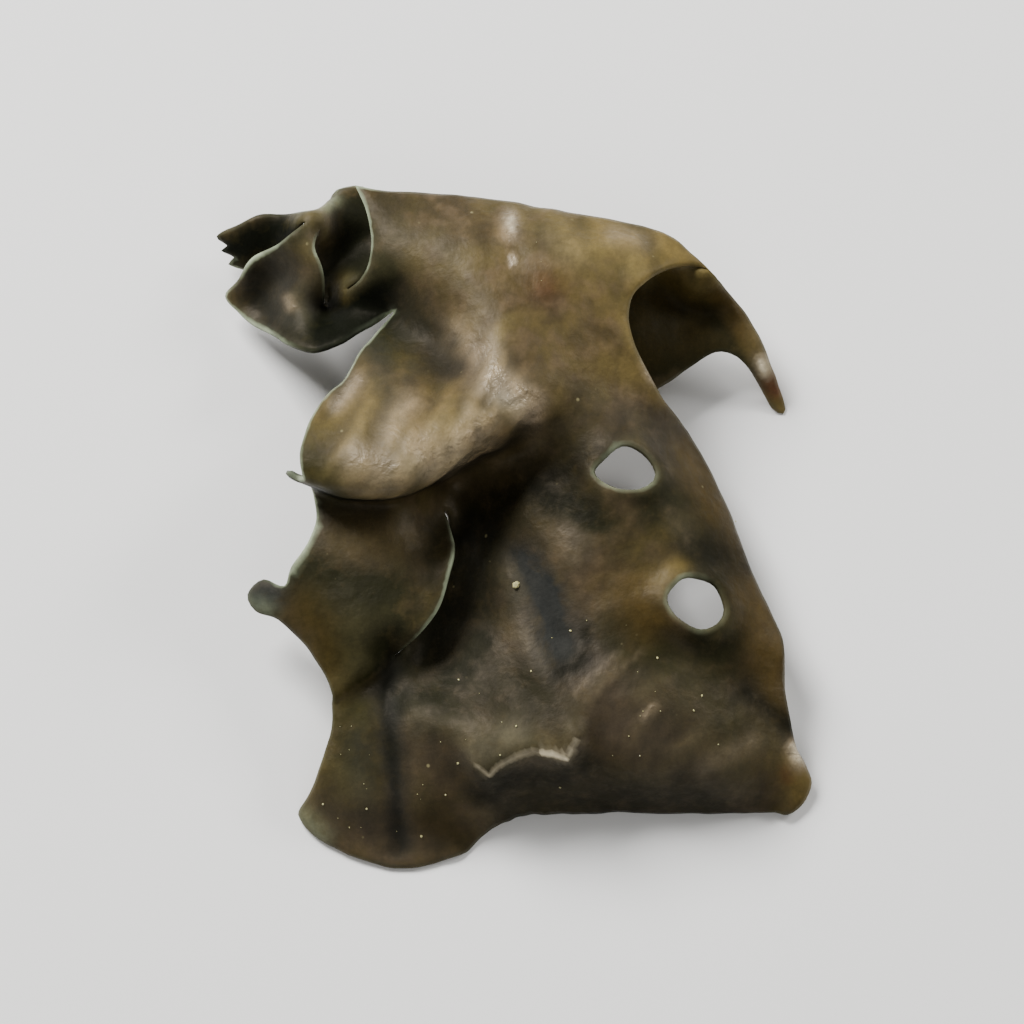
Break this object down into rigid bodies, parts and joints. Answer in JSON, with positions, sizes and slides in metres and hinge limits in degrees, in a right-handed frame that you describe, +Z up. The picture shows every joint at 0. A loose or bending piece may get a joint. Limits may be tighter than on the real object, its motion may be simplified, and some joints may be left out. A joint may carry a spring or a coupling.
{
  "type": "wakame flake",
  "caption": "Dried wakame flake: a thin leathery scrap of seaweed blade, crumpled into a folded lobe, a torn flap, a ruffled corner and an ear, with worn holes.",
  "frame": {"origin": "middle of the bounding box on the table that the flake lies on", "axes": "+Z up, +Y along the flake's length towards the ruffled corner, +X towards the ear"},
  "size_m": [0.0288, 0.0336, 0.0092],
  "materials": {
    "dried_blade": "satin"
  },
  "bodies": {
    "root": {"wakame_flake": "dried_blade"}
  },
  "joints": []
}
